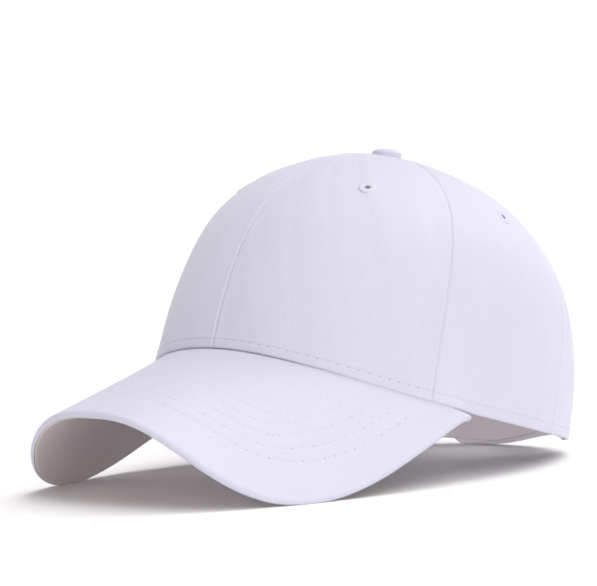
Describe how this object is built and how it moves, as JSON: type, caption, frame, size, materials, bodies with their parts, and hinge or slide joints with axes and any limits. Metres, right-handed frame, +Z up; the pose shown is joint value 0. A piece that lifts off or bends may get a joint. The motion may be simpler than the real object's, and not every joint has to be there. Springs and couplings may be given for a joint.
{
  "type": "ponytail baseball cap",
  "caption": "White cotton baseball cap with a curved peak, a ponytail slot in the rear seam and a two-part strap across the rear arch.",
  "frame": {"origin": "centre of the footprint box, on the surface that the cap rests on", "axes": "+Z up as the cap rests, the peak points to -Y, the wearer's left is +X"},
  "size_m": [0.1716, 0.2738, 0.1449],
  "materials": {
    "cloth": "matt cotton twill",
    "under_cloth": "matt cotton twill",
    "lining": "matt cotton band",
    "thread": "satin sewing thread",
    "pad": "woven hook and loop pad"
  },
  "bodies": {
    "root": {"front_panel_left": "cloth", "side_panel_left": "cloth", "rear_panel_left": "cloth", "front_panel_right": "cloth", "side_panel_right": "cloth", "rear_panel_right": "cloth", "front_eyelet_left": "thread", "side_eyelet_left": "thread", "rear_eyelet_left": "thread", "front_eyelet_right": "thread", "side_eyelet_right": "thread", "rear_eyelet_right": "thread", "slot_placket": "cloth", "button": "cloth", "sweatband": "lining", "peak_upper_cover": "cloth", "peak_under_cover": "under_cloth", "strap_long": "cloth", "strap_short": "cloth", "hook_pad": "pad", "loop_pad": "pad"}
  },
  "joints": []
}
